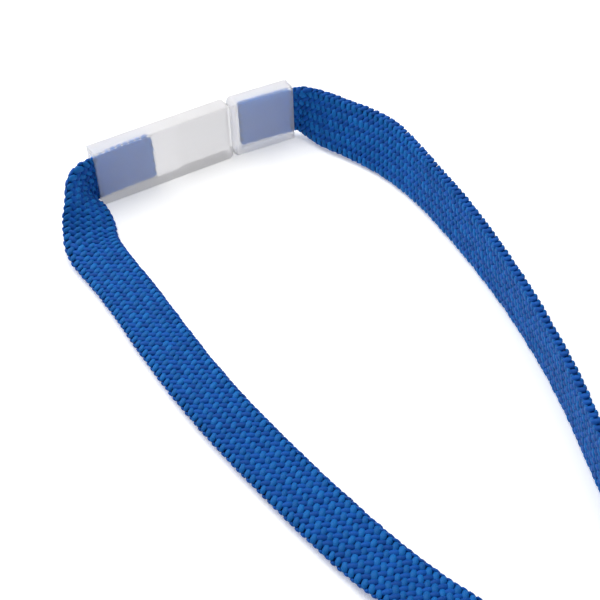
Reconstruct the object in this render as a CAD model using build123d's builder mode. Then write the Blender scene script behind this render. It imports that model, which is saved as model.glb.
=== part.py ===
"""Neck end of a flat braided lanyard with a breakaway clasp, its strap put away, and its swivel hook.

Frame: +X along the clasp, +Z up. The clasp stands on its long narrow edge, with its centre over the
origin, and the strap and its hook lie on the same surface. Sizes are in millimetres.
"""
import os
from math import atan, cos, degrees, radians, sin, tan

from build123d import *

os.makedirs("parts", exist_ok=True)

# ---------------------------------------------------------------- driving dimensions
strap_width = 10.0
strap_thickness = 1.8
layer_gap = 0.2          # between the two straps where they run together

clasp_height = 12.5
clasp_thickness = 3.6
female_length = 29.3
male_length = 13.4
joint_gap = 0.1          # between the two halves when they are closed
rock_angle = 4.0         # how far the short half leans in its play, about +Z
edge_radius = 0.35       # long outer edges of both halves
notch_radius = 1.0       # back corners of both halves at the joint

female_pocket_depth = 12.6
male_pocket_depth = 11.8
strap_fit = 0.06         # all round the strap in its pocket

tongue_length = 11.0
tongue_height = 8.2
tongue_thickness = 1.2
tongue_fit = 0.12        # all round the tongue in its socket
tine_slot = 3.4          # height of the slot that parts the two tines
barb_rise = 0.5
barb_length = 2.6

crimp_length = 9.0
crimp_wall = 0.6
crimp_fit = 0.1

eye_wire = 1.9           # diameter of the eye's bar and arms
eye_fit = 0.1            # round the bar in the strap's loop
eye_side_gap = 0.3       # from the strap's edge to each arm
eye_length = 6.8         # from the bar's centre to the cross bar's centre
cross_bar = 2.4
shank_radius = 1.2
shank_fit = 0.06
boss_radius = 2.4
boss_length = 3.4
head_radius = 2.0
head_length = 1.0

hook_length = 21.0       # from the collar to the tip of the bow
hook_width = 12.4
hook_section = 2.8
hook_thickness = 3.0
hook_edge_chamfer = 0.6
gate_width = 2.2
gate_fit = 0.15
gate_pin_radius = 0.6
gate_pin_fit = 0.05
ear_thickness = 0.75
spring_thickness = 0.3
spring_width = 1.1
spring_length = 7.0

# ---------------------------------------------------------------- places that follow from them
rock = radians(rock_angle)
male_reach_x = joint_gap + male_length * cos(rock) + clasp_thickness * sin(rock)
male_reach_y = male_length * sin(rock)
joint_x = (female_length - male_reach_x) / 2
clasp_y = male_reach_y / 2
front_y = clasp_y - clasp_thickness / 2
mid_z = clasp_height / 2
female_end_x = joint_x - female_length
layer_pitch = strap_thickness + layer_gap

# The short half's own plane: its origin is the front bottom corner at the joint.
male_plane = Plane(origin=(joint_x + joint_gap, front_y, 0), x_dir=(cos(rock), -sin(rock), 0), z_dir=(0, 0, 1))


def male_point(along, z):
    """A point of the short half's middle plane, in the row frame."""
    return male_plane.from_local_coords(Vector(along, clasp_thickness / 2, z))


# ---------------------------------------------------------------- routes of the strap
# Each point is x, y, z and the strap's lean: 0 on edge, +90 laid flat with its upper edge to the
# right of travel, -90 to the left. The two legs leave the clasp's mouths and end where they meet,
# and their first points are placed from the mouths.
straight_out = 1.8       # straight strap past each mouth
left_mouth = Vector(female_end_x, clasp_y, mid_z)
right_mouth = male_point(male_length, mid_z)

left_leg = [
    (left_mouth.X - 3.6, clasp_y - 2.1, mid_z - 0.85, 28),
    (left_mouth.X - 4.1, clasp_y - 5.1, 4.4, 50),
    (left_mouth.X - 5.3, clasp_y - 8.7, 2.5, 75),
    (left_mouth.X - 7.0, clasp_y - 13.3, 1.2, 88),
    (left_mouth.X - 6.7, clasp_y - 19.0, 0.95, 90),
    (-27.6, -29.0, 0.95, 90),
    (-27.7, -42.0, 0.95, 90),
    (-27.2, -57.0, 0.95, 90),
    (-25.7, -71.0, 0.95, 90),
    (-23.4, -86.0, 0.95, 90),
    (-20.6, -101.0, 0.95, 90),
    (-16.2, -114.0, 2.5, 72),
    (-9.6, -126.0, 4.6, 38),
    (-1.6, -134.0, 5.1, 8),
]
right_leg = [
    (right_mouth.X + 3.5, right_mouth.Y - 1.9, mid_z - 0.85, -22),
    (right_mouth.X + 5.5, right_mouth.Y - 7.1, 5.1, -34),
    (right_mouth.X + 8.1, right_mouth.Y - 12.6, 5.0, -36),
    (right_mouth.X + 10.2, right_mouth.Y - 18.9, 5.0, -33),
    (32.1, -27.0, 5.0, -23),
    (31.7, -35.0, 5.1, -15),
    (30.8, -46.0, 5.1, -12),
    (28.7, -60.0, 5.1, -6),
    (25.7, -74.0, 5.05, -2),
    (21.7, -88.0, 5.0, 0),
    (16.7, -101.0, 5.0, 0),
    (12.0, -114.0, 5.0, 0),
    (7.8, -127.0, 5.0, 0),
]

# The two legs run on together, on edge, round one wide turn that closes inwards.
coil_centre = (55.0, -150.0)
coil_start_radius = 51.0
coil_end_radius = 39.0
coil_start_angle = 180.0
coil_sweep = 288.0
coil_step = 24.0
lead_in = 9.0            # straight strap before the wide turn, and before the crimp
on_edge_z = strap_width / 2

# Then they turn in to the middle and lie down flat, one on the other, in the crimp.
fitting_z = strap_thickness + eye_wire / 2 + eye_fit + 0.05
crimp_mouth = (24.5, -142.0)
fitting_angle = -45.0
tail_in = [
    (27.5, -118.6, 5.2, -4),
    (19.0, -121.6, 5.4, -30),
    (15.5, -128.6, 3.9, -66),
]


def coil_points():
    """Corners of the wide turn, a little outside the arc that the strap follows between them."""
    points = []
    count = int(coil_sweep / coil_step)
    for k in range(count + 1):
        angle = radians(coil_start_angle + k * coil_step)
        radius = coil_start_radius + (coil_end_radius - coil_start_radius) * k / count
        x = coil_centre[0] + radius * cos(angle)
        y = coil_centre[1] + radius * sin(angle)
        points.append((x, y, on_edge_z, 0))
    return points


def arc_radii(points):
    """As large an arc at each corner as its two runs allow."""
    radii = []
    for before, corner, after in zip(points, points[1:], points[2:]):
        run_in = Vector(*corner[:3]) - Vector(*before[:3])
        run_out = Vector(*after[:3]) - Vector(*corner[:3])
        turn = radians(run_in.get_angle(run_out))
        radii.append(0.45 * min(run_in.length, run_out.length) / tan(turn / 2))
    return radii


def strap_frame(point, along, lean):
    """A section plane across the strap: x along its width, y through its thickness."""
    side = along.cross(Vector(0, 0, 1)).normalized()
    upright = side.cross(along).normalized()
    across = upright * cos(radians(lean)) + side * sin(radians(lean))
    return Plane(origin=point, x_dir=across, z_dir=along)


def strap_stations(points):
    """Section planes along straight runs joined by tangent arcs, with the lean eased between points."""
    radii = arc_radii(points)
    with BuildLine() as route:
        FilletPolyline(*[point[:3] for point in points], radius=radii)
    wire = route.wires()[0]
    marks = [0.0]
    travelled = 0.0
    cuts = [0.0]
    for edge in wire.order_edges():
        if edge.geom_type == GeomType.CIRCLE:
            marks.append(travelled + edge.length / 2)
            cuts += [travelled, travelled + edge.length / 2]
        travelled += edge.length
        cuts.append(travelled)
    marks.append(travelled)
    planes = []
    for cut in sorted(set(round(cut, 6) for cut in cuts)):
        after = next(k for k in range(1, len(marks)) if cut <= marks[k] + 1e-5)
        share = (cut - marks[after - 1]) / (marks[after] - marks[after - 1])
        lean = points[after - 1][3] + (points[after][3] - points[after - 1][3]) * share
        place = min(cut / travelled, 1.0)
        planes.append(strap_frame(wire.position_at(place), wire.tangent_at(place), lean))
    print(f"  length {travelled:.1f}, radii", [round(radius, 1) for radius in radii])
    return planes, travelled


def strap_solid(name, points, thickness):
    """A flat strap of the given thickness along its route, as one ruled solid."""
    planes, length = strap_stations(points)
    with BuildPart() as strap:
        for plane in planes:
            with BuildSketch(plane):
                Rectangle(strap_width, thickness)
        loft(ruled=True)
    section = strap_width * thickness
    print(f"  {name}: volume {strap.part.volume:.1f}, section times length {section * length:.1f}")
    strap.part.label = name
    export_step(strap.part, f"parts/{name}.step")
    return planes


# ---------------------------------------------------------------- long (female) half of the clasp
pocket_height = strap_width + 2 * strap_fit
pocket_thickness = strap_thickness + 2 * strap_fit
socket_height = tongue_height + 2 * barb_rise + 2 * tongue_fit
socket_thickness = tongue_thickness + 2 * tongue_fit
socket_depth = tongue_length + 0.6

with BuildPart() as female_half:
    with BuildSketch(Plane.YZ.offset(female_end_x)):
        with Locations((clasp_y, mid_z)):
            RectangleRounded(clasp_thickness, clasp_height, edge_radius)
    extrude(amount=female_length)
    back_corner = female_half.edges().filter_by(Axis.Z).group_by(Axis.X)[-1].sort_by(Axis.Y)[-1]
    fillet(back_corner, notch_radius)
    with BuildSketch(Plane.YZ.offset(female_end_x)):
        with Locations((clasp_y, mid_z)):
            Rectangle(pocket_thickness, pocket_height)
    extrude(amount=female_pocket_depth, mode=Mode.SUBTRACT)
    with BuildSketch(Plane.YZ.offset(joint_x)):
        with Locations((clasp_y, mid_z)):
            Rectangle(socket_thickness, socket_height)
    extrude(amount=-socket_depth, mode=Mode.SUBTRACT)
female_half.part.label = "female_half"
export_step(female_half.part, "parts/female_half.step")

# ---------------------------------------------------------------- short (male) half with its tongue
tine_height = (tongue_height - tine_slot) / 2
barb_start = tongue_length - barb_length

with BuildPart() as male_half:
    with BuildSketch(male_plane):
        with Locations((male_length / 2, clasp_thickness / 2)):
            Rectangle(male_length, clasp_thickness)
    extrude(amount=clasp_height)
    long_edges = male_half.edges().filter_by(Axis((0, 0, 0), male_plane.x_dir))
    fillet(long_edges, edge_radius)
    near_joint = male_half.edges().filter_by(Axis.Z).group_by(Axis.X)[:2]
    back_corner = ShapeList(near_joint[0] + near_joint[1]).sort_by(Axis.Y)[-1]
    fillet(back_corner, notch_radius)
    mouth_plane = Plane(origin=male_point(male_length, mid_z), x_dir=male_plane.y_dir, z_dir=male_plane.x_dir)
    with BuildSketch(mouth_plane):
        Rectangle(pocket_thickness, pocket_height)
    extrude(amount=-male_pocket_depth, mode=Mode.SUBTRACT)
    # The tongue keeps the long half's line, so it bends by the rock angle where it leaves the shell.
    root_x = joint_x + joint_gap + clasp_thickness * sin(rock) + 0.4
    with BuildSketch(Plane.XZ.offset(-clasp_y)):
        with Locations(((root_x + joint_x - tongue_length) / 2, mid_z)):
            Rectangle(root_x - joint_x + tongue_length, tongue_height)
        for side in (1, -1):
            tip_x = joint_x - tongue_length
            edge_z = mid_z + side * tongue_height / 2
            Polygon(
                (tip_x, edge_z - side * 0.5),
                (tip_x + barb_length / 2, edge_z + side * barb_rise),
                (tip_x + barb_length, edge_z + side * barb_rise * 0.5),
                (tip_x + barb_length, edge_z - side * 0.5),
                align=None,
            )
        with Locations((joint_x - tongue_length / 2 - 1.0, mid_z)):
            Rectangle(tongue_length - 2.0, tine_slot, mode=Mode.SUBTRACT)
    extrude(amount=tongue_thickness / 2, both=True)
male_half.part.label = "male_half"
export_step(male_half.part, "parts/male_half.step")

# ---------------------------------------------------------------- strap: two legs and the wide turn
left_points = [
    (left_mouth.X + female_pocket_depth, clasp_y, mid_z, 0),
    (left_mouth.X - straight_out, clasp_y, mid_z, 0),
    *left_leg,
]
right_points = [
    (*male_point(male_length - male_pocket_depth + strap_fit, mid_z), 0),
    (*male_point(male_length + straight_out, mid_z), 0),
    *right_leg,
]
turn_points = coil_points()
start_x = turn_points[0][0]
start_y = turn_points[0][1]
for points, side in ((left_points, -1), (right_points, 1)):
    beside = start_x + side * layer_pitch / 2
    points.append((beside, start_y + lead_in, on_edge_z, 0))
    points.append((beside, start_y, on_edge_z, 0))
print("strap_left")
strap_solid("strap_left", left_points, strap_thickness)
print("strap_right")
strap_solid("strap_right", right_points, strap_thickness)

fitting_way = Vector(cos(radians(fitting_angle)), sin(radians(fitting_angle)), 0)
turn_points = [
    (start_x, start_y, on_edge_z, 0),
    (start_x, start_y - lead_in, on_edge_z, 0),
    *turn_points[1:],
    *tail_in,
    (crimp_mouth[0] - fitting_way.X * lead_in, crimp_mouth[1] - fitting_way.Y * lead_in, fitting_z, -90),
    (crimp_mouth[0], crimp_mouth[1], fitting_z, -90),
]
print("strap_turn")
strap_solid("strap_turn", turn_points, strap_thickness + layer_pitch)

# ---------------------------------------------------------------- crimp and the strap's loop
# Fitting plane: x runs along the hook, y across it, z up. Its origin is the crimp's back face.
fitting = Plane(origin=(*crimp_mouth, fitting_z), x_dir=fitting_way, z_dir=(0, 0, 1))
stack = strap_thickness + layer_pitch
crimp_inside_y = strap_width + 2 * crimp_fit
crimp_inside_z = stack + 2 * crimp_fit
bar_x = crimp_length + 4.0
loop_inner = eye_wire / 2 + eye_fit
loop_outer = loop_inner + strap_thickness


def across_fitting(x):
    """A plane square to the fitting's length, at x along it: its x is the fitting's y."""
    return Plane(origin=fitting.from_local_coords(Vector(x, 0, 0)), x_dir=fitting.y_dir, z_dir=fitting.x_dir)


side_view = Plane(origin=fitting.origin, x_dir=fitting.x_dir, z_dir=-fitting.y_dir)
plan_view = fitting

with BuildPart() as crimp:
    with BuildSketch(across_fitting(0)):
        RectangleRounded(crimp_inside_y + 2 * crimp_wall, crimp_inside_z + 2 * crimp_wall, 1.0)
        Rectangle(crimp_inside_y, crimp_inside_z, mode=Mode.SUBTRACT)
    extrude(amount=crimp_length)
crimp.part.label = "crimp"
export_step(crimp.part, "parts/crimp.step")

with BuildPart() as strap_loop:
    with BuildSketch(side_view):
        with Locations((bar_x, 0)):
            Circle(loop_outer)
        Polygon((0, -stack / 2), (crimp_length, -stack / 2), (bar_x, -loop_outer), (bar_x, loop_outer),
                (crimp_length, stack / 2), (0, stack / 2), align=None)
        with Locations((bar_x, 0)):
            Circle(loop_inner, mode=Mode.SUBTRACT)
        Polygon((crimp_length, -layer_gap / 2), (bar_x, -loop_inner), (bar_x, loop_inner),
                (crimp_length, layer_gap / 2), align=None, mode=Mode.SUBTRACT)
    extrude(amount=strap_width / 2, both=True)
strap_loop.part.label = "strap_loop"
export_step(strap_loop.part, "parts/strap_loop.step")

# ---------------------------------------------------------------- swivel eye
arm_y = strap_width / 2 + eye_side_gap + eye_wire / 2
cross_x = bar_x + eye_length
boss_start = cross_x - cross_bar / 2
boss_end = boss_start + boss_length

with BuildPart() as swivel_eye:
    with BuildLine() as eye_line:
        FilletPolyline(
            *[fitting.from_local_coords(Vector(x, y, 0)) for x, y in
              ((cross_x, -arm_y), (bar_x, -arm_y), (bar_x, arm_y), (cross_x, arm_y))],
            radius=1.2,
        )
    with BuildSketch(Plane(origin=eye_line.line @ 0, z_dir=eye_line.line % 0)):
        Circle(eye_wire / 2)
    sweep()
    with BuildSketch(plan_view):
        with Locations((cross_x, 0)):
            SlotOverall(2 * arm_y + cross_bar, cross_bar, rotation=90)
    extrude(amount=cross_bar / 2, both=True)
    with BuildSketch(across_fitting(boss_start)):
        Circle(boss_radius)
    extrude(amount=boss_length)
    with BuildSketch(across_fitting(boss_start - 1)):
        Circle(shank_radius + shank_fit)
    extrude(amount=boss_length + 2, mode=Mode.SUBTRACT)
swivel_eye.part.label = "swivel_eye"
export_step(swivel_eye.part, "parts/swivel_eye.step")

# ---------------------------------------------------------------- hook body with its shank
collar_x = boss_end + 0.15
collar_length = 2.0
bow_start = collar_x + collar_length
bow_end = bow_start + hook_length
bow_radius = hook_width / 2
inner_width = hook_width - 2 * hook_section
inner_start = bow_start + 3.4
inner_end = bow_end - hook_section
gate_y = -(hook_width - hook_section) / 2
pin_x = bow_start + 2.4
gate_tip_x = bow_end - bow_radius - 1.0
ear_gap = hook_thickness - 2 * ear_thickness

with BuildPart() as hook_body:
    with BuildSketch(plan_view):
        with Locations(((bow_start + bow_end) / 2, 0)):
            SlotOverall(hook_length, hook_width)
        with Locations((collar_x + boss_radius, 0)):
            Circle(boss_radius)
        make_hull()
        with Locations(((inner_start + inner_end) / 2, 0)):
            SlotOverall(inner_end - inner_start, inner_width, mode=Mode.SUBTRACT)
    extrude(amount=hook_thickness / 2, both=True)
    chamfer(hook_body.faces().filter_by(Axis.Z).edges(), hook_edge_chamfer)
    with BuildSketch(plan_view):
        with Locations(((pin_x + 2.2 + gate_tip_x) / 2, -bow_radius)):
            Rectangle(gate_tip_x - pin_x - 2.2, 2 * (bow_radius - inner_width / 2) + 0.4)
    extrude(amount=hook_thickness, both=True, mode=Mode.SUBTRACT)
    with BuildSketch(plan_view):
        with Locations((pin_x + 2.0, gate_y)):
            Rectangle(6.4, hook_section + 2.2)
    extrude(amount=ear_gap / 2, both=True, mode=Mode.SUBTRACT)
    with BuildSketch(across_fitting(collar_x)):
        Circle(boss_radius)
    extrude(amount=collar_length)
    with BuildSketch(across_fitting(boss_start - 0.1)):
        Circle(shank_radius)
    extrude(amount=collar_x - boss_start + 0.6)
    with BuildSketch(across_fitting(boss_start - 0.1 - head_length)):
        Circle(head_radius)
    extrude(amount=head_length)
    with BuildSketch(plan_view):
        with Locations((pin_x, gate_y)):
            Circle(gate_pin_radius)
    extrude(amount=hook_thickness, both=True, mode=Mode.SUBTRACT)
hook_body.part.label = "hook_body"
export_step(hook_body.part, "parts/hook_body.step")

# ---------------------------------------------------------------- gate, its pin and its spring
gate_end_x = gate_tip_x - gate_fit
gate_thickness = ear_gap - 2 * gate_pin_fit

with BuildPart() as gate:
    with BuildSketch(plan_view):
        with Locations(((pin_x + gate_end_x) / 2 - gate_width / 4, gate_y)):
            SlotOverall(gate_end_x - pin_x + gate_width / 2, gate_width)
        with Locations((pin_x, gate_y)):
            Circle(gate_pin_radius + gate_pin_fit, mode=Mode.SUBTRACT)
    extrude(amount=gate_thickness / 2, both=True)
gate.part.label = "gate"
export_step(gate.part, "parts/gate.step")

with BuildPart() as gate_pin:
    with BuildSketch(plan_view):
        with Locations((pin_x, gate_y)):
            Circle(gate_pin_radius)
    extrude(amount=hook_thickness / 2 + 0.2, both=True)
gate_pin.part.label = "gate_pin"
export_step(gate_pin.part, "parts/gate_pin.step")

# A leaf from the inside of the hook's root to the back of the gate holds it shut.
inner_radius = inner_width / 2
leaf_root_y = -0.56 * inner_radius
leaf_root_x = inner_start + inner_radius - (inner_radius ** 2 - leaf_root_y ** 2) ** 0.5
leaf_tip_y = gate_y + gate_width / 2 + spring_thickness / 2 + 0.1
leaf_tip_x = leaf_root_x + spring_length
leaf_slope = degrees(atan((leaf_tip_y - leaf_root_y) / (leaf_tip_x - leaf_root_x)))

with BuildPart() as gate_spring:
    with BuildSketch(plan_view):
        with Locations(((leaf_root_x + leaf_tip_x) / 2, (leaf_root_y + leaf_tip_y) / 2)):
            Rectangle(spring_length, spring_thickness, rotation=leaf_slope)
    extrude(amount=spring_width / 2, both=True)
gate_spring.part.label = "gate_spring"
export_step(gate_spring.part, "parts/gate_spring.step")

print("clasp mouths", tuple(left_mouth), tuple(right_mouth))
print("fitting", tuple(fitting.origin), "bar", bar_x, "boss", boss_start, boss_end)
print("pin", pin_x, gate_y, "gate tip", gate_end_x, "throat", inner_start, inner_end, inner_width)
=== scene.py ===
# %% [markdown]
# # The neck end of a braided lanyard
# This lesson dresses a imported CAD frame. The frame gives a two-piece breakaway clasp that stands on
# its long narrow edge, a flat braided strap that leaves both of its ends, and the swivel hook that
# the strap carries. We add the braid, yarn by yarn, and the finish of every moulded or plated piece.

# %% Open the frame
import random
from math import cos, hypot, pi, radians, sin

import bpy
import numpy as np
from mathutils import Matrix, Vector


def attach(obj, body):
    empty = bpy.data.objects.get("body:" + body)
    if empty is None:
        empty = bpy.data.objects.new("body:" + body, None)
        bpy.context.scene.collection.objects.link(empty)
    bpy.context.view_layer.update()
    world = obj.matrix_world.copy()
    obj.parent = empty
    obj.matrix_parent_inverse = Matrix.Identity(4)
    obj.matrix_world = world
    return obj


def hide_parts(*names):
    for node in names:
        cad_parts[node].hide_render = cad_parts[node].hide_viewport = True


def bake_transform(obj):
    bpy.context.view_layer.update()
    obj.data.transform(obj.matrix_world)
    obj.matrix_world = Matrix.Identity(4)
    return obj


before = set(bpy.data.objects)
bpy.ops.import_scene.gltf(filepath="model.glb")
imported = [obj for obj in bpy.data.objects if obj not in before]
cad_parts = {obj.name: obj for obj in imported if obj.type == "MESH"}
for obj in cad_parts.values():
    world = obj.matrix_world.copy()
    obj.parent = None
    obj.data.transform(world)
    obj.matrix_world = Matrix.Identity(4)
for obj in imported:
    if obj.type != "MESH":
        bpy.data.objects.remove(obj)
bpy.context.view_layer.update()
MM = 0.001
bpy.ops.object.select_all(action="DESELECT")

# %% [markdown]
# ## Where we look from
# A maker's picture of a clasp is taken from above its open front corner with a long lens, so that its
# edges stay almost parallel. We set the camera by the place of its lens, its heading, how far it looks
# down and its small roll. That is easier to think about than three Euler angles.

# %% The camera
CAMERA_PLACE = (-77.96, -181.59, 149.65)
CAMERA_HEADING = 28.89      # degrees to the right of +Y
CAMERA_DOWN = 43.69         # degrees below level
CAMERA_ROLL = -2.21
CAMERA_LENS = 73.2          # for a sensor 36 mm wide

heading, down, roll = (radians(angle) for angle in (CAMERA_HEADING, CAMERA_DOWN, CAMERA_ROLL))
sight = Vector((sin(heading) * cos(down), cos(heading) * cos(down), -sin(down)))
level_right = Vector((cos(heading), -sin(heading), 0))
level_up = level_right.cross(sight)
right = level_right * cos(roll) + level_up * sin(roll)
up = level_up * cos(roll) - level_right * sin(roll)

bpy.ops.object.camera_add()
camera = bpy.context.object
camera.name = "camera"
camera.data.lens = CAMERA_LENS
camera.data.clip_start = 0.01
axes = Matrix((right, up, -sight)).transposed()
camera.matrix_world = Matrix.Translation(Vector(CAMERA_PLACE) * MM) @ axes.to_4x4()
bpy.context.scene.camera = camera
print("camera looks along", [round(value, 3) for value in sight])

# %% [markdown]
# ## Colours and nodes
# Colours are written as sRGB hex, the way a dyer's card or a screen gives them, while Blender computes
# in linear light. One function turns the one into the other, and another adds a node, sets its values
# and joins its inputs, so that each material below reads as a short recipe. The metal, the plastic and
# the yarn are all made with these four.

# %% Helpers for every material
def linear(colour):
    """A hex colour as the four linear numbers that a socket takes."""
    parts = [int(colour[k:k + 2], 16) / 255 for k in (1, 3, 5)]
    light = [part / 12.92 if part <= 0.04045 else ((part + 0.055) / 1.055) ** 2.4 for part in parts]
    return light + [1.0]


def add_node(owner, kind, links=(), **settings):
    """Add a node of this kind. A setting is one of its own properties or the name of an input."""
    node = owner.node_tree.nodes.new(kind)
    for name, value in settings.items():
        if hasattr(node, name):
            setattr(node, name, value)
        else:
            node.inputs[name.replace("_", " ")].default_value = value
    for name, source in dict(links).items():
        owner.node_tree.links.new(source, node.inputs[name])
    return node


def new_material(name):
    """An empty material and its surface shader."""
    material = bpy.data.materials.new(name)
    material.use_nodes = True
    return material, material.node_tree.nodes["Principled BSDF"]


def join(owner, source, target):
    """Join a node's output to an input, in a material or in the sky."""
    owner.node_tree.links.new(source, target)


print("helpers ready; middle grey is", round(linear("#808080")[0], 3), "in linear light")

# %% [markdown]
# ## The table and the light
# A product table is one even sheet with a large soft lamp over it, so shadows are faint and wide. The
# sheet is a plain plane, and three wide area lamps and a soft sky light it. The lamp over the object is
# the strongest, and the one behind draws a thin bright line along the clasp's upper edges. Far from the
# object the sheet glows more and the camera sees a white sky, so the table ends without a line.

# %% The floor
FLOOR_SIZE = 3000 * MM
GLOW_NEAR, GLOW_FAR = 0.3, 0.9      # how strongly the sheet glows, near the object and far from it
GLOW_FROM, GLOW_TO = 0.35, 1.1      # where that changes, metres from the sheet's middle
bpy.ops.mesh.primitive_plane_add(size=FLOOR_SIZE, location=(0, 0, 0))
floor = bpy.context.object
floor.name = "floor"
paper, paper_shader = new_material("white_paper")
paper_shader.inputs["Base Color"].default_value = linear("#FFFFFF")
paper_shader.inputs["Roughness"].default_value = 0.9
paper_shader.inputs["Specular IOR Level"].default_value = 0.1
paper_shader.inputs["Emission Color"].default_value = linear("#FFFFFF")
sheet_place = add_node(paper, "ShaderNodeTexCoord")
reach = add_node(paper, "ShaderNodeVectorMath", {"Vector": sheet_place.outputs["Object"]},
                 operation="LENGTH")
glow = add_node(paper, "ShaderNodeMapRange", {"Value": reach.outputs["Value"]},
                From_Min=GLOW_FROM, From_Max=GLOW_TO, To_Min=GLOW_NEAR, To_Max=GLOW_FAR)
join(paper, glow.outputs["Result"], paper_shader.inputs["Emission Strength"])
floor.data.materials.append(paper)
print("floor", round(FLOOR_SIZE, 2), "m wide")

# %% Lamps and sky
SKY_LIGHT = 0.22            # what the sky sheds on the object
SKY_SEEN = 1.0              # what the camera sees of it
LAMPS = {                   # place in mm, side of its square in mm, watts
    "lamp_over": ((60, 210, 480), 560, 2.7),
    "lamp_behind": ((-240, 420, 330), 380, 1.3),
    "lamp_front": ((260, -420, 420), 420, 0.45),
}
for name, (place, size, power) in LAMPS.items():
    bpy.ops.object.light_add(type="AREA", location=Vector(place) * MM)
    lamp = bpy.context.object
    lamp.name = name
    lamp.data.shape = "SQUARE"
    lamp.data.size = size * MM
    lamp.data.energy = power
    lamp.rotation_euler = (-Vector(place)).to_track_quat("-Z", "Y").to_euler()

sky = bpy.data.worlds.new("soft_sky")
bpy.context.scene.world = sky
sky.use_nodes = True
sky.node_tree.nodes["Background"].inputs["Color"].default_value = linear("#FFFFFF")
ray = add_node(sky, "ShaderNodeLightPath")
backdrop = add_node(sky, "ShaderNodeMapRange", {"Value": ray.outputs["Is Camera Ray"]},
                    To_Min=SKY_LIGHT, To_Max=SKY_SEEN)
join(sky, backdrop.outputs["Result"], sky.node_tree.nodes["Background"].inputs["Strength"])
bpy.context.scene.view_settings.view_transform = "Standard"
print("lamps", list(LAMPS))

# %% [markdown]
# ## The strap's way
# The strap is 10 mm wide and 1.8 mm thick, limp in its thickness and stiff across its width. So a route
# of points isn't enough: each point also says how the strap leans there, 0 on edge and 90 laid flat.
# One leg leaves the clasp's left mouth, falls over at once and lies flat. The other stands on edge and
# leans out. Further on they meet and run together in one wide turn to the hook.

# %% Sizes and points of the route, in millimetres and degrees
STRAP_WIDTH = 10.0
STRAP_THICKNESS = 1.8
LAYER_PITCH = 2.0           # between the middles of two layers that lie against each other
RIGHT_MOUTH = (21.384, -0.472)
MOUTH_Z = 6.25
MALE_LEAN = radians(4.0)

left_leg = [
    (-8.91, 0.467, MOUTH_Z, 0),
    (-23.31, 0.467, MOUTH_Z, 0),
    (-25.1, -1.6, 5.4, 28),
    (-25.6, -4.6, 4.4, 50),
    (-26.8, -8.2, 2.5, 75),
    (-28.5, -12.8, 1.2, 88),
    (-28.2, -18.5, 0.95, 90),
    (-27.6, -29.0, 0.95, 90),
    (-27.7, -42.0, 0.95, 90),
    (-27.2, -57.0, 0.95, 90),
    (-25.7, -71.0, 0.95, 90),
    (-23.4, -86.0, 0.95, 90),
    (-20.6, -101.0, 0.95, 90),
    (-16.2, -114.0, 2.5, 72),
    (-9.6, -126.0, 4.6, 38),
    (-1.6, -134.0, 5.1, 8),
    (3.0, -141.0, 5.0, 0),
    (3.0, -150.0, 5.0, 0),
]


def along_male(distance):
    """A point this far outside the short half's mouth, on its own slightly turned line."""
    x, y = RIGHT_MOUTH
    return (x + distance * cos(MALE_LEAN), y - distance * sin(MALE_LEAN), MOUTH_Z, 0)


right_leg = [
    along_male(-11.74),
    along_male(1.8),
    (24.9, -2.4, 5.4, -22),
    (26.9, -7.6, 5.1, -34),
    (29.5, -13.1, 5.0, -36),
    (31.6, -19.4, 5.0, -33),
    (32.1, -27.0, 5.0, -23),
    (31.7, -35.0, 5.1, -15),
    (30.8, -46.0, 5.1, -12),
    (28.7, -60.0, 5.1, -6),
    (25.7, -74.0, 5.05, -2),
    (21.7, -88.0, 5.0, 0),
    (16.7, -101.0, 5.0, 0),
    (12.0, -114.0, 5.0, 0),
    (7.8, -127.0, 5.0, 0),
    (5.0, -141.0, 5.0, 0),
    (5.0, -150.0, 5.0, 0),
]

TURN_CENTRE = (55.0, -150.0)
TURN_STEPS = 12
TURN_STEP_ANGLE = 24.0
TURN_START_RADIUS = 51.0
TURN_END_RADIUS = 39.0
FITTING_PLACE = Vector((24.5, -142.0, 2.9))
FITTING_ANGLE = radians(-45.0)
FITTING_WAY = Vector((cos(FITTING_ANGLE), sin(FITTING_ANGLE), 0))
LEAD_IN = 9.0

turn = [(4.0, -150.0, 5.0, 0), (4.0, -159.0, 5.0, 0)]
for step in range(1, TURN_STEPS + 1):
    angle = radians(180 + step * TURN_STEP_ANGLE)
    radius = TURN_START_RADIUS + (TURN_END_RADIUS - TURN_START_RADIUS) * step / TURN_STEPS
    turn.append((TURN_CENTRE[0] + radius * cos(angle), TURN_CENTRE[1] + radius * sin(angle), 5.0, 0))
turn += [
    (27.5, -118.6, 5.2, -4),
    (19.0, -121.6, 5.4, -30),
    (15.5, -128.6, 3.9, -66),
    (*(FITTING_PLACE - FITTING_WAY * LEAD_IN), -90),
    (*FITTING_PLACE, -90),
]
print("points", len(left_leg), len(right_leg), len(turn))

# %% [markdown]
# ## A centreline and a guide beside it
# A NURBS spline of order 3 passes smoothly near its control points and never swings wide of them. One
# spline is the strap's middle. A second one, its guide, runs half a width away on the side that the lean
# gives. Both have the same number of points, so the step from one to the other is always the direction of
# the strap's width, and the strap twists gently wherever the lean changes.

# %% Splines read as rows of points
SPLINE_STEPS = 24           # points between two control points


def read_spline(name, points):
    """The points of the NURBS spline that these control points draw, in millimetres."""
    curve = bpy.data.curves.new(name, "CURVE")
    curve.dimensions = "3D"
    spline = curve.splines.new("NURBS")
    spline.points.add(len(points) - 1)
    for knot, point in zip(spline.points, points):
        knot.co = (*(Vector(point) * MM), 1)
    spline.order_u = 3
    spline.use_endpoint_u = True
    spline.resolution_u = SPLINE_STEPS
    line = bpy.data.objects.new(name, curve)
    bpy.context.collection.objects.link(line)
    mesh = bpy.data.meshes.new_from_object(line)
    row = np.empty(len(mesh.vertices) * 3)
    mesh.vertices.foreach_get("co", row)
    bpy.data.objects.remove(line)
    bpy.data.meshes.remove(mesh)
    bpy.data.curves.remove(curve)
    return row.reshape(-1, 3) / MM


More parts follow.
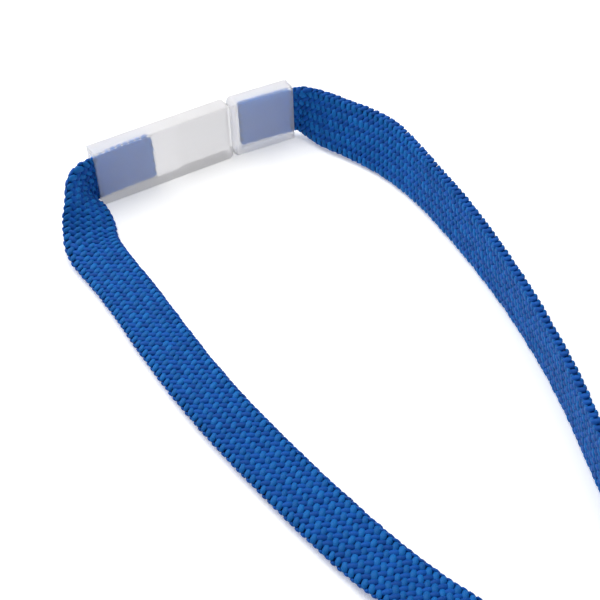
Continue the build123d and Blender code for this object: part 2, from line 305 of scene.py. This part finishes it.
def unit(rows):
    """Each row made one unit long."""
    return rows / np.linalg.norm(rows, axis=1)[:, None]


print("splines of order 3,", SPLINE_STEPS, "steps between points")

# %% The ways of the two legs and of the turn's two layers
# A braid spreads where it is bent sharply: how much wider it is at these distances from its start.
SPREAD = {
    "right": ([14, 20, 33, 42, 52], [1.0, 1.09, 1.13, 1.04, 1.0]),
    "left": ([14, 26, 32, 40], [1.0, 1.04, 1.06, 1.0]),
}
POCKETS = {"left": 12.2, "right": 11.4}     # mm of each leg that the clasp holds
END_MARGIN = 0.45           # mm of sealed end of a leg in its pocket, which has no floats


class StrapWay:
    """Middle, width direction and thickness direction at every distance along a strap."""

    def __init__(self, name, middle, width):
        self.middle = middle
        self.width = width
        steps = np.linalg.norm(np.diff(middle, axis=0), axis=1)
        self.distance = np.concatenate([[0.0], np.cumsum(steps)])
        self.length = self.distance[-1]
        self.spread = SPREAD.get(name, ([0], [1.0]))
        self.pocket = POCKETS.get(name, 0.0)
        self.margin = END_MARGIN if name in POCKETS else 0.0

    def at(self, distance):
        """Middle, travel, width and thickness direction there, one row for each distance given."""
        def read(rows):
            return np.stack([np.interp(distance, self.distance, rows[:, k]) for k in range(3)], axis=1)
        middle = read(self.middle)
        width = unit(read(self.width))
        travel = unit(read(np.gradient(self.middle, self.distance, axis=0)))
        return middle, travel, width, unit(np.cross(width, travel))

    def wider(self, distance):
        """How many times its usual width the strap has there."""
        return np.interp(distance, *self.spread)

    def path(self):
        """The middle as points in metres."""
        return [tuple(point) for point in self.middle * MM]


def routed_way(name, route, offset=0.0):
    """The way of a strap along a route, moved by the offset in the direction of its thickness."""
    places = [Vector(point[:3]) for point in route]
    guide = []
    for k, place in enumerate(places):
        travel = (places[min(k + 1, len(places) - 1)] - places[max(k - 1, 0)]).normalized()
        side = travel.cross(Vector((0, 0, 1))).normalized()
        upright = side.cross(travel)
        lean = radians(route[k][3])
        guide.append(place + (upright * cos(lean) + side * sin(lean)) * STRAP_WIDTH / 2)
    middle = read_spline(name + "_middle", places)
    travel = unit(np.gradient(middle, axis=0))
    width = read_spline(name + "_guide", guide) - middle
    width = unit(width - travel * np.sum(width * travel, axis=1)[:, None])
    return StrapWay(name, middle + np.cross(width, travel) * offset, width)


ways = {
    "strap_left_braid": routed_way("left", left_leg),
    "strap_right_braid": routed_way("right", right_leg),
    "turn_outer_braid": routed_way("outer", turn, -LAYER_PITCH / 2),
    "turn_inner_braid": routed_way("inner", turn, LAYER_PITCH / 2),
}
for name, way in ways.items():
    print(name, "length", round(way.length, 1), "mm")

# %% [markdown]
# ## One stitch of yarn
# A flat braid shows short oval floats of yarn, each lying across the strap at a steep slant. We model
# one float: a small closed ball, stretched to the float's length, width and depth. It has only 32 faces,
# because the strap repeats it thousands of times.

# %% The float
FLOAT_LENGTH = 2.0
FLOAT_WIDTH = 1.24
FLOAT_DEPTH = 0.8
bpy.ops.mesh.primitive_uv_sphere_add(segments=8, ring_count=4, radius=0.5, location=(0, 0, 0),
                                     rotation=(0, pi / 2, 0))
stitch = bpy.context.object
stitch.name = "stitch_pattern"
bpy.ops.object.transform_apply(location=False, rotation=True, scale=False)
stitch.scale = (FLOAT_LENGTH, FLOAT_WIDTH, FLOAT_DEPTH)
bpy.ops.object.transform_apply(location=False, rotation=False, scale=True)
stitch_points = np.array([vertex.co[:] for vertex in stitch.data.vertices])
stitch_faces = [tuple(polygon.vertices) for polygon in stitch.data.polygons]
stitch_mesh = stitch.data
bpy.data.objects.remove(stitch)
bpy.data.meshes.remove(stitch_mesh)
print("float faces", len(stitch_faces), "triangles", sum(len(face) - 2 for face in stitch_faces))

# %% [markdown]
# ## The braid
# A tubular braid pressed flat has the same columns of floats on both faces, and they run round its edges.
# Neighbouring columns slant opposite ways and sit half a stitch apart, which gives the scalloped edge. We
# go round the section column by column and along the strap row by row, and lay a copy of the float at
# each place. The floats sink into a core, which fills the gaps as the inner yarn does and is painted dark
# for the shade in those gaps. Each copy gets a slightly different size, slant and tone from a seeded
# draw, as real yarn has. All this is
# laid out on a straight strap first and draped over the strap's way at the end, so the floats bend
# with it.

# %% The ring of floats round the section
COLUMNS = 20                # round the whole strap, ten on each face
STITCH_PITCH = 1.3          # along the strap, between floats of the same slant
YARN_ANGLE = radians(56)    # from the strap's own direction
RING_RADIUS = 0.5           # of the rounded edges of the ring on which the floats' middles sit
FLOAT_REACH = 0.42          # mm that a float at the edge stands out past that ring
RING_HALF = STRAP_WIDTH / 2 - RING_RADIUS - FLOAT_REACH


def ring_point(share, shrink=0.0):
    """A point on the ring round the section, by its share of the way round, and the way out there."""
    radius = RING_RADIUS - shrink
    straight = 2 * RING_HALF
    bend = pi * radius
    place = (share % 1.0) * 2 * (straight + bend)
    if place < straight:
        return np.array([place - RING_HALF, radius]), np.array([0.0, 1.0])
    if place < straight + bend:
        turned = pi / 2 - (place - straight) / radius
        way_out = np.array([cos(turned), sin(turned)])
        return np.array([RING_HALF, 0.0]) + way_out * radius, way_out
    if place < 2 * straight + bend:
        return np.array([RING_HALF - (place - straight - bend), -radius]), np.array([0.0, -1.0])
    turned = -pi / 2 - (place - 2 * straight - bend) / radius
    way_out = np.array([cos(turned), sin(turned)])
    return np.array([-RING_HALF, 0.0]) + way_out * radius, way_out


print("ring", round(2 * RING_HALF, 2), "mm between the middles of its rounded edges")

# %% Floats and core, laid out straight and draped
ALONG = np.array([0.0, 1.0, 0.0])   # a straight strap's own direction
SLANT_PLAY = 8              # degrees that a float may turn from its column's slant
SIZE_PLAY = (0.9, 1.07)     # least and most, times the float's size
LIFT_PLAY = (-0.06, 0.05)   # mm that a float may stand lower or higher
EDGE_ZONE = 0.3             # mm from the ring's rounded edges in which the floats are pulled smaller
EDGE_SIZE = 0.88            # how small
CORE_SINK = 0.02            # mm from the floats' middles down to the core
CORE_STEP = 0.8             # mm between two of its rings
CORE_CORNERS = 16


def drape(way, flat):
    """Points of a strap laid out straight, across, along and through it, bent to the strap's way."""
    middle, travel, width, thick = way.at(flat[:, 1])
    across = flat[:, 0] * way.wider(flat[:, 1])
    return middle + width * across[:, None] + thick * flat[:, 2][:, None]


def lay_stitches(way, draw):
    """Corner points and tones of all the floats on one strap."""
    rows = int((way.length - way.margin) / STITCH_PITCH)
    points, tones = [], []
    for column in range(COLUMNS):
        (across, through), way_out = ring_point((column + 0.5) / COLUMNS)
        slant = 1 if column % 2 else -1
        start = 0.5 + 0.25 * slant
        out = np.array([way_out[0], 0.0, way_out[1]])
        round_way = np.cross(out, ALONG)
        for k in range(rows):
            spot = way.margin + (k + start) * (way.length - way.margin) / rows
            angle = slant * (YARN_ANGLE + radians(draw.uniform(-SLANT_PLAY, SLANT_PLAY)))
            long_way = ALONG * cos(angle) + round_way * sin(angle)
            short_way = np.cross(out, long_way)
            size = draw.uniform(*SIZE_PLAY) * (EDGE_SIZE if abs(across) > RING_HALF - EDGE_ZONE else 1.0)
            turned = np.stack([long_way, short_way, out]) * size
            lift = draw.uniform(*LIFT_PLAY)
            points.append(stitch_points @ turned + np.array([across, spot, through]) + out * lift)
            # painted light: held marks the floats inside the clasp, which the yarn material paints a
            # lighter blue
            held = 1.0 if spot < way.pocket else 0.0
            tones.append((0.5 + 0.5 * slant, draw.uniform(0, 1), held))
    return drape(way, np.concatenate(points)), tones


def core_tube(way):
    """The core, painted dark for the shade in the gaps between the floats, as a closed tube: rings of
    points, faces and two end caps.
    """
    count = int(way.length / CORE_STEP)
    spots = np.linspace(way.margin / 2, way.length, count)
    ring = [ring_point((k + 0.5) / CORE_CORNERS, CORE_SINK)[0] for k in range(CORE_CORNERS)]
    points = drape(way, np.array([(across, spot, through) for spot in spots for across, through in ring]))
    faces = []
    for first in range(0, (count - 1) * CORE_CORNERS, CORE_CORNERS):
        for j in range(CORE_CORNERS):
            here, after = first + j, first + (j + 1) % CORE_CORNERS
            faces.append((here, after, after + CORE_CORNERS, here + CORE_CORNERS))
    faces.append(tuple(reversed(range(CORE_CORNERS))))
    faces.append(tuple(range((count - 1) * CORE_CORNERS, count * CORE_CORNERS)))
    return points, faces


print("floats turn by up to", SLANT_PLAY, "degrees; the core's rings are", CORE_STEP, "mm apart")


# %% One mesh for each strap
def braid(name, way, seed):
    """One strap: its core and its floats in a single mesh, with the floats' tones in an attribute."""
    draw = random.Random(seed)
    core_points, core_faces = core_tube(way)
    floats, tones = lay_stitches(way, draw)
    points = np.concatenate([core_points, floats]) * MM
    faces = list(core_faces)
    start = len(core_points)
    for _ in tones:
        faces += [tuple(corner + start for corner in face) for face in stitch_faces]
        start += len(stitch_points)
    mesh = bpy.data.meshes.new(name)
    mesh.from_pydata(points, [], faces)
    tone = mesh.attributes.new("yarn_tone", "FLOAT_COLOR", "POINT")
    values = np.zeros((len(points), 4))
    values[len(core_points):, :3] = np.repeat(tones, len(stitch_points), axis=0)
    values[len(core_points):, 3] = 1.0
    tone.data.foreach_set("color", values.ravel())
    lay = mesh.uv_layers.new(name="yarn_way")
    corner_points = np.empty(len(mesh.loops), dtype=np.int32)
    mesh.loops.foreach_get("vertex_index", corner_points)
    flat = np.zeros((len(points), 2))
    flat[len(core_points):] = np.tile(stitch_points[:, :2], (len(tones), 1))
    lay.data.foreach_set("uv", flat[corner_points].ravel())
    strap = bpy.data.objects.new(name, mesh)
    bpy.context.collection.objects.link(strap)
    bpy.ops.object.select_all(action="DESELECT")
    strap.select_set(True)
    bpy.context.view_layer.objects.active = strap
    bpy.ops.object.mode_set(mode="EDIT")
    bpy.ops.mesh.select_all(action="SELECT")
    bpy.ops.mesh.normals_make_consistent(inside=False)
    bpy.ops.object.mode_set(mode="OBJECT")
    bpy.ops.object.shade_smooth()
    print(name, "floats", len(tones), "triangles", sum(len(face) - 2 for face in faces))
    return strap


straps = {name: braid(name, way, seed) for seed, (name, way) in enumerate(ways.items())}

# %% [markdown]
# ## The loop round the hook's eye
# Inside the crimp the two layers are one strap that goes round the eye's bar and comes back. Its way is
# a straight run, an arc of a little over half a turn and a straight run back, worked out from the
# fitting's sizes.

# %% The loop's way
BAR_FROM_CRIMP = 13.0
CRIMP_LENGTH = 9.0
BAR_RADIUS = 0.95
BAR_GAP = 0.1
LOOP_RADIUS = BAR_RADIUS + BAR_GAP + STRAP_THICKNESS / 2
LOOP_HALF_ARC = 105         # degrees to either side of the fitting's own direction
LOOP_STEPS = 12
LOOP_PIECE = 0.5            # mm, about the distance between two points of the way
LOOP_SEED = 7


def loop_way():
    """Side view of the loop, x along the fitting and z up, turned into the frame's directions."""
    profile = [(0.0, LAYER_PITCH / 2), (CRIMP_LENGTH, LAYER_PITCH / 2)]
    for k in range(LOOP_STEPS + 1):
        angle = radians(LOOP_HALF_ARC * (1 - 2 * k / LOOP_STEPS))
        profile.append((BAR_FROM_CRIMP + LOOP_RADIUS * cos(angle), LOOP_RADIUS * sin(angle)))
    profile += [(CRIMP_LENGTH, -LAYER_PITCH / 2), (0.0, -LAYER_PITCH / 2)]
    line = []
    for (x0, z0), (x1, z1) in zip(profile, profile[1:]):
        pieces = max(1, round(hypot(x1 - x0, z1 - z0) / LOOP_PIECE))
        line += [(x0 + (x1 - x0) * k / pieces, z0 + (z1 - z0) * k / pieces) for k in range(pieces)]
    line.append(profile[-1])
    middle = np.array([list(FITTING_PLACE + FITTING_WAY * x + Vector((0, 0, z))) for x, z in line])
    across = Vector((0, 0, 1)).cross(FITTING_WAY)
    return StrapWay("loop", middle, np.tile(list(across), (len(middle), 1)))


straps["strap_loop_braid"] = braid("strap_loop_braid", loop_way(), LOOP_SEED)

# %% [markdown]
# ## Braided polyester
# The strap is a braid of filament polyester, dyed royal blue. The filaments lie along each float, so it
# has a soft silky gloss rather than the matt look of cotton. The tone attribute gives each float its own
# shade of blue, the two slants get painted light and shade, the core is painted darker still for the
# shade in the gaps, and fine streaks along the float's own map draw its filaments. Real filaments are
# 0.02 mm, too fine to show, so they are drawn 0.14 mm apart. Inside the clasp the yarn is painted a
# clearer, lighter blue: painted light standing in for the light that the milky walls spread round it.

# %% The yarn's colours
# The tone attribute holds a float's slant in red, which picks its painted light or shade, its own draw in
# green, 1 in blue where the clasp holds it, which gets painted light, and 0 in alpha for the core, which
# gets painted shade.
polyester, surface = new_material("braided_polyester")
tone = add_node(polyester, "ShaderNodeVertexColor", layer_name="yarn_tone")
parts = add_node(polyester, "ShaderNodeSeparateColor", {"Color": tone.outputs["Color"]})
shades = add_node(polyester, "ShaderNodeValToRGB", {"Fac": parts.outputs["Green"]})
shades.color_ramp.elements[0].color = linear("#0A5CA6")     # royal blue, from its deeper
shades.color_ramp.elements[1].color = linear("#136EBE")     # to its lighter floats
painted_slant_light = add_node(polyester, "ShaderNodeMixRGB",
                    {"Fac": parts.outputs["Red"], "Color1": shades.outputs["Color"]},
                    blend_type="SOFT_LIGHT", Color2=linear("#8090A4"))      # painted light and shade: one slant toned apart from the other
painted_pocket_light = add_node(polyester, "ShaderNodeMixRGB",
               {"Fac": parts.outputs["Blue"], "Color1": painted_slant_light.outputs["Color"]},
               Color2=linear("#3C9BFF"))                    # painted light: yarn in the pocket painted lighter, as if lit through the milky walls
yarn = add_node(polyester, "ShaderNodeMixRGB",
                {"Fac": tone.outputs["Alpha"], "Color2": painted_pocket_light.outputs["Color"]},
                Color1=linear("#073A78"))                   # painted shade: inner yarn painted dark for the gaps between floats
join(polyester, yarn.outputs["Color"], surface.inputs["Base Color"])
print("yarn colour nodes", len(polyester.node_tree.nodes))

# %% Its filaments and gloss
FILAMENT = 0.14             # mm, coarser than the real filament so that it shows
map_place = add_node(polyester, "ShaderNodeUVMap", uv_map="yarn_way")
stretch = add_node(polyester, "ShaderNodeMapping", {"Vector": map_place.outputs["UV"]},
                   Scale=(0.5, 1 / FILAMENT, 1))
streaks = add_node(polyester, "ShaderNodeTexNoise", {"Vector": stretch.outputs["Vector"]},
                   Scale=1.0, Detail=2.0)
relief = add_node(polyester, "ShaderNodeBump", {"Height": streaks.outputs["Fac"]}, Strength=0.35,
                  Distance=0.1 * MM)
join(polyester, relief.outputs["Normal"], surface.inputs["Normal"])
surface.inputs["Roughness"].default_value = 0.55
surface.inputs["Specular IOR Level"].default_value = 0.15
surface.inputs["Sheen Weight"].default_value = 0.03
surface.inputs["Sheen Roughness"].default_value = 0.4
surface.inputs["Sheen Tint"].default_value = linear("#9CC4F0")
for strap in straps.values():
    strap.data.materials.append(polyester)
print("yarn material nodes", len(polyester.node_tree.nodes))

# %% [markdown]
# ## Frosted polypropylene
# The clasp is moulded in natural polypropylene, a milky plastic, and its mould was blasted with grit,
# so the skin is matt. Light goes in and is scattered, and what lies just under the wall shows through
# with soft edges. Rough transmission blurs what is seen through the wall, and the white base colour that
# stays opaque gives the milkiness. The grit is drawn 0.25 mm apart, as bump only.
#
# Only the outside of the mould was blasted. The parts of it that form the pockets, the socket and the
# tongue were polished, so there the skin is clear. Two materials share one plastic: the frosted one
# carries all the milkiness of the wall, and the polished one only lets the light through.

# %% The clasp's material
GRIT = 0.25                 # mm
MILKY = "#E8E7E8"
WATER_CLEAR = "#FFFFFF"


def moulded(name, colour, roughness, transmission, bending):
    """Natural polypropylene with this finish of its skin."""
    plastic, skin = new_material(name)
    skin.inputs["Base Color"].default_value = linear(colour)
    skin.inputs["Roughness"].default_value = roughness
    skin.inputs["IOR"].default_value = bending
    skin.inputs["Transmission Weight"].default_value = transmission
    return plastic, skin


frosted, outer_skin = moulded("frosted_polypropylene", MILKY, 0.36, 0.64, 1.12)
clear, _ = moulded("polished_polypropylene", WATER_CLEAR, 0.12, 0.98, 1.05)
place = add_node(frosted, "ShaderNodeTexCoord")
grit = add_node(frosted, "ShaderNodeTexNoise", {"Vector": place.outputs["Object"]},
                Scale=1 / (GRIT * MM), Detail=1.0)
dimples = add_node(frosted, "ShaderNodeBump", {"Height": grit.outputs["Fac"]},
                   Strength=0.2, Distance=0.02 * MM)
join(frosted, dimples.outputs["Normal"], outer_skin.inputs["Normal"])
print("clasp materials", frosted.name, clear.name)

# %% [markdown]
# ## Nickel plate and spring steel
# The hook, the eye and the crimp are steel under bright nickel. Tumbling leaves a fine uneven polish, so
# the roughness wanders a little over a few millimetres. The spring leaf is bare steel, darker and duller.

# %% The metals
CLOUD = 2.5                 # mm, over which the polish wanders
SCUFF = 0.4                 # mm, between the finest dents


def plated(name, colour, roughness, wander):
    """A polished metal whose roughness wanders by this much."""
    metal, coat = new_material(name)
    coat.inputs["Metallic"].default_value = 1.0
    coat.inputs["Base Color"].default_value = linear(colour)
    spot = add_node(metal, "ShaderNodeTexCoord")
    clouds = add_node(metal, "ShaderNodeTexNoise", {"Vector": spot.outputs["Object"]},
                      Scale=1 / (CLOUD * MM), Detail=3.0)
    spread = add_node(metal, "ShaderNodeMapRange", {"Value": clouds.outputs["Fac"]},
                      To_Min=roughness - wander, To_Max=roughness + wander)
    join(metal, spread.outputs["Result"], coat.inputs["Roughness"])
    scuffs = add_node(metal, "ShaderNodeTexNoise", {"Vector": spot.outputs["Object"]},
                      Scale=1 / (SCUFF * MM), Detail=2.0)
    worn = add_node(metal, "ShaderNodeBump", {"Height": scuffs.outputs["Fac"]},
                    Strength=0.08, Distance=0.03 * MM)
    join(metal, worn.outputs["Normal"], coat.inputs["Normal"])
    return metal


nickel = plated("nickel_plated_steel", "#D9D6CF", 0.2, 0.06)
spring_steel = plated("spring_steel", "#8C8E92", 0.32, 0.08)
print("metals", nickel.name, spring_steel.name)

# %% [markdown]
# ## From a CAD solid to a moulded piece
# A mould never leaves a knife edge, and the eye reads plastic and plate by the thin bright line that a
# rounded edge catches. So each rigid piece is a copy of its CAD solid: its loose triangles are merged,
# flat fields are cleaned of their inner edges, and a small Bevel modifier rounds every sharp edge.

# %% Round the edges of a copied solid
WELD = 0.001                # mm, closer points are one point
FLAT_ANGLE = radians(1)     # faces that differ by less are one flat field
SHARP_ANGLE = radians(40)   # edges that bend by more are rounded
SMOOTH_ANGLE = radians(35)


def rounded_copy(node, name, edge, segments=3):
    """A copy of a CAD node with all its sharp edges rounded by this many millimetres."""
    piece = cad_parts[node].copy()
    piece.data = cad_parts[node].data.copy()
    piece.name = name
    piece.parent = None
    piece.matrix_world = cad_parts[node].matrix_world
    bpy.context.collection.objects.link(piece)
    bpy.ops.object.select_all(action="DESELECT")
    piece.select_set(True)
    bpy.context.view_layer.objects.active = piece
    bpy.ops.object.transform_apply(location=True, rotation=True, scale=True)
    bpy.ops.object.mode_set(mode="EDIT")
    bpy.ops.mesh.select_all(action="SELECT")
    bpy.ops.mesh.remove_doubles(threshold=WELD * MM)
    bpy.ops.mesh.dissolve_limited(angle_limit=FLAT_ANGLE)
    bpy.ops.object.mode_set(mode="OBJECT")
    rounding = piece.modifiers.new("edge", "BEVEL")
    rounding.width = edge * MM
    rounding.segments = segments
    rounding.limit_method = "ANGLE"
    rounding.angle_limit = SHARP_ANGLE
    rounding.use_clamp_overlap = True
    bpy.ops.object.modifier_apply(modifier=rounding.name)
    bpy.ops.object.shade_smooth_by_angle(angle=SMOOTH_ANGLE)
    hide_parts(node)
    print(name, "faces", len(piece.data.polygons))
    return piece


# %% Copy, finish and carry the rigid pieces
SLOTS = {
    "frosted_polypropylene": frosted,
    "nickel_plated_steel": nickel,
    "spring_steel": spring_steel,
}
RIGID = {                   # node: name of the piece, its body, its slot, mm of rounding
    "female_half": ("long_half", "root", "frosted_polypropylene", 0.24),
    "male_half": ("short_half_shell", "short_half", "frosted_polypropylene", 0.24),
    "crimp": ("crimp_sleeve", "root", "nickel_plated_steel", 0.15),
    "swivel_eye": ("eye", "eye", "nickel_plated_steel", 0.12),
    "hook_body": ("hook", "hook", "nickel_plated_steel", 0.12),
    "gate": ("hook_gate", "gate", "nickel_plated_steel", 0.12),
    "gate_pin": ("hook_pin", "hook", "nickel_plated_steel", 0.12),
    "gate_spring": ("spring_leaf", None, "spring_steel", 0.05),     # it rides on no body
}
rigid = {}
for node, (name, body, slot_name, edge) in RIGID.items():
    rigid[node] = rounded_copy(node, name, edge)
    rigid[node].data.materials.clear()
    rigid[node].data.materials.append(SLOTS[slot_name])
    if body:
        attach(rigid[node], body)

# %% [markdown]
# ## The leaf that shuts the gate
# The spring leaf is held in the hook's root and its free end lies on the back of the gate, so it bends
# when the gate opens. It needs corners along its length to bend at, so we cut it across eleven times.

# %% Cut the leaf across
LEAF_PIECES = 12


def fitting_point(along, across):
    """A point in the fitting's middle plane, by its mm along it from the crimp and its mm across it."""
    side = Vector((0, 0, 1)).cross(FITTING_WAY)
    return (FITTING_PLACE + FITTING_WAY * along + side * across) * MM


LEAF_ROOT = fitting_point(28.3, -1.85)
LEAF_TIP = fitting_point(35.1, -3.5)
leaf = rigid["gate_spring"]
bpy.ops.object.select_all(action="DESELECT")
leaf.select_set(True)
bpy.context.view_layer.objects.active = leaf
bpy.ops.object.mode_set(mode="EDIT")
for cut in range(1, LEAF_PIECES):
    bpy.ops.mesh.select_all(action="SELECT")
    bpy.ops.mesh.bisect(plane_co=LEAF_ROOT.lerp(LEAF_TIP, cut / LEAF_PIECES),
                        plane_no=LEAF_TIP - LEAF_ROOT)
bpy.ops.object.mode_set(mode="OBJECT")
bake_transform(leaf)
print(leaf.name, "faces", len(leaf.data.polygons))

# %% [markdown]
# ## The polished inside
# The inner skin is every face that doesn't lie on the half's outer block. We turn each face's middle into
# the half's own frame, where the block is a plain box, and give the clear material to the faces that are
# well inside all its sides, and to the whole tongue, which sticks out of the box.

# %% Give the inner faces the clear finish
FEMALE_END = -21.509
JOINT_X = 7.791
HALVES_GAP = 0.1
MALE_BLOCK = 13.4           # length of the short half without its tongue
FRONT_Y = -1.333
CLASP_THICKNESS = 3.6
CLASP_HEIGHT = 12.5
SKIN = 0.4                  # mm, deeper than the rounded edges
END_SKIN = 0.3              # the same at the block's two ends
TONGUE_START = -0.05        # mm outside the block's inner end
LEAN_BACK = Matrix.Rotation(MALE_LEAN, 3, "Z")


def polish_inside(piece, corner, length, turn_back):
    """Give the clear material to the faces inside a box that starts at this corner."""
    piece.data.materials.append(clear)
    count = 0
    for face in piece.data.polygons:
        x, y, z = turn_back @ (face.center / MM - corner)
        depth = min(y, CLASP_THICKNESS - y, z, CLASP_HEIGHT - z)
        tongue = x < TONGUE_START
        inside = depth > SKIN and END_SKIN < x < length - END_SKIN
        if tongue or inside:
            face.material_index = 1
            count += 1
    print(piece.name, "polished faces", count)


polish_inside(rigid["female_half"], Vector((FEMALE_END, FRONT_Y, 0)), JOINT_X - FEMALE_END,
              Matrix.Identity(3))
polish_inside(rigid["male_half"], Vector((JOINT_X + HALVES_GAP, FRONT_Y, 0)), MALE_BLOCK, LEAN_BACK)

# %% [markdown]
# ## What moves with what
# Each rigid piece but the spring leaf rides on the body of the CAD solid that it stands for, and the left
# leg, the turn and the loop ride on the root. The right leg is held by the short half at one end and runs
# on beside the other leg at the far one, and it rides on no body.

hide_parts("strap_left")
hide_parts("strap_right")
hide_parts("strap_turn")
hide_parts("strap_turn")
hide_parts("strap_loop")
for name in ("strap_left_braid", "turn_outer_braid", "turn_inner_braid", "strap_loop_braid"):
    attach(straps[name], "root")
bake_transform(straps["strap_right_braid"])


def declare(name):
    """Read this braid's way as points in metres; nothing is kept."""
    way = ways[name]
    way.path()[0]
    way.path()


declare("strap_left_braid")
declare("strap_right_braid")
declare("turn_outer_braid")
declare("turn_inner_braid")
print("cords", list(ways))
